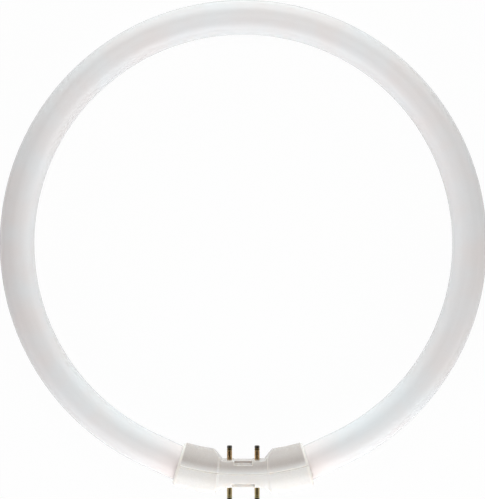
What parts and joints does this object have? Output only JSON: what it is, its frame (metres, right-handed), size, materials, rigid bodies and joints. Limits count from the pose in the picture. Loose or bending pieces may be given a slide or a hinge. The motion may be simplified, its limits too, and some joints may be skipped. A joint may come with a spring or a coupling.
{
  "type": "circular fluorescent tube",
  "caption": "Ring-shaped fluorescent lamp: a bent white glass tube whose ends meet in a moulded plastic cap with opposed pairs of brass contact pins.",
  "frame": {"origin": "centre of the ring, on the mid-plane of the glass tube", "axes": "+Z along the ring's axis; the cap is on the -Y side; +X to the right when the cap is at the bottom; the inner pins point along +Y"},
  "size_m": [0.225, 0.2311, 0.0206],
  "materials": {
    "coated_glass": "clear glass over a matt white phosphor coat, so it looks white and satin",
    "cap_plastic": "moulded white plastic, satin",
    "pin_brass": "drawn brass, slightly dulled",
    "lead_wire": "nickel-plated iron wire",
    "sleeve_silicone": "white silicone tubing",
    "cap_cement": "cured silicone cement"
  },
  "bodies": {
    "root": {"discharge_tube": "coated_glass", "inner_cap_shell": "cap_plastic", "outer_cap_shell": "cap_plastic", "inner_pin_left": "pin_brass", "inner_pin_right": "pin_brass", "outer_pin_left": "pin_brass", "outer_pin_right": "pin_brass", "inner_lead_wire_left": "lead_wire", "inner_lead_wire_right": "lead_wire", "outer_lead_wire_left": "lead_wire", "outer_lead_wire_right": "lead_wire", "inner_wire_sleeve_left": "sleeve_silicone", "inner_wire_sleeve_right": "sleeve_silicone", "outer_wire_sleeve_left": "sleeve_silicone", "outer_wire_sleeve_right": "sleeve_silicone", "cement_band_left": "cap_cement", "cement_band_right": "cap_cement"}
  },
  "joints": []
}
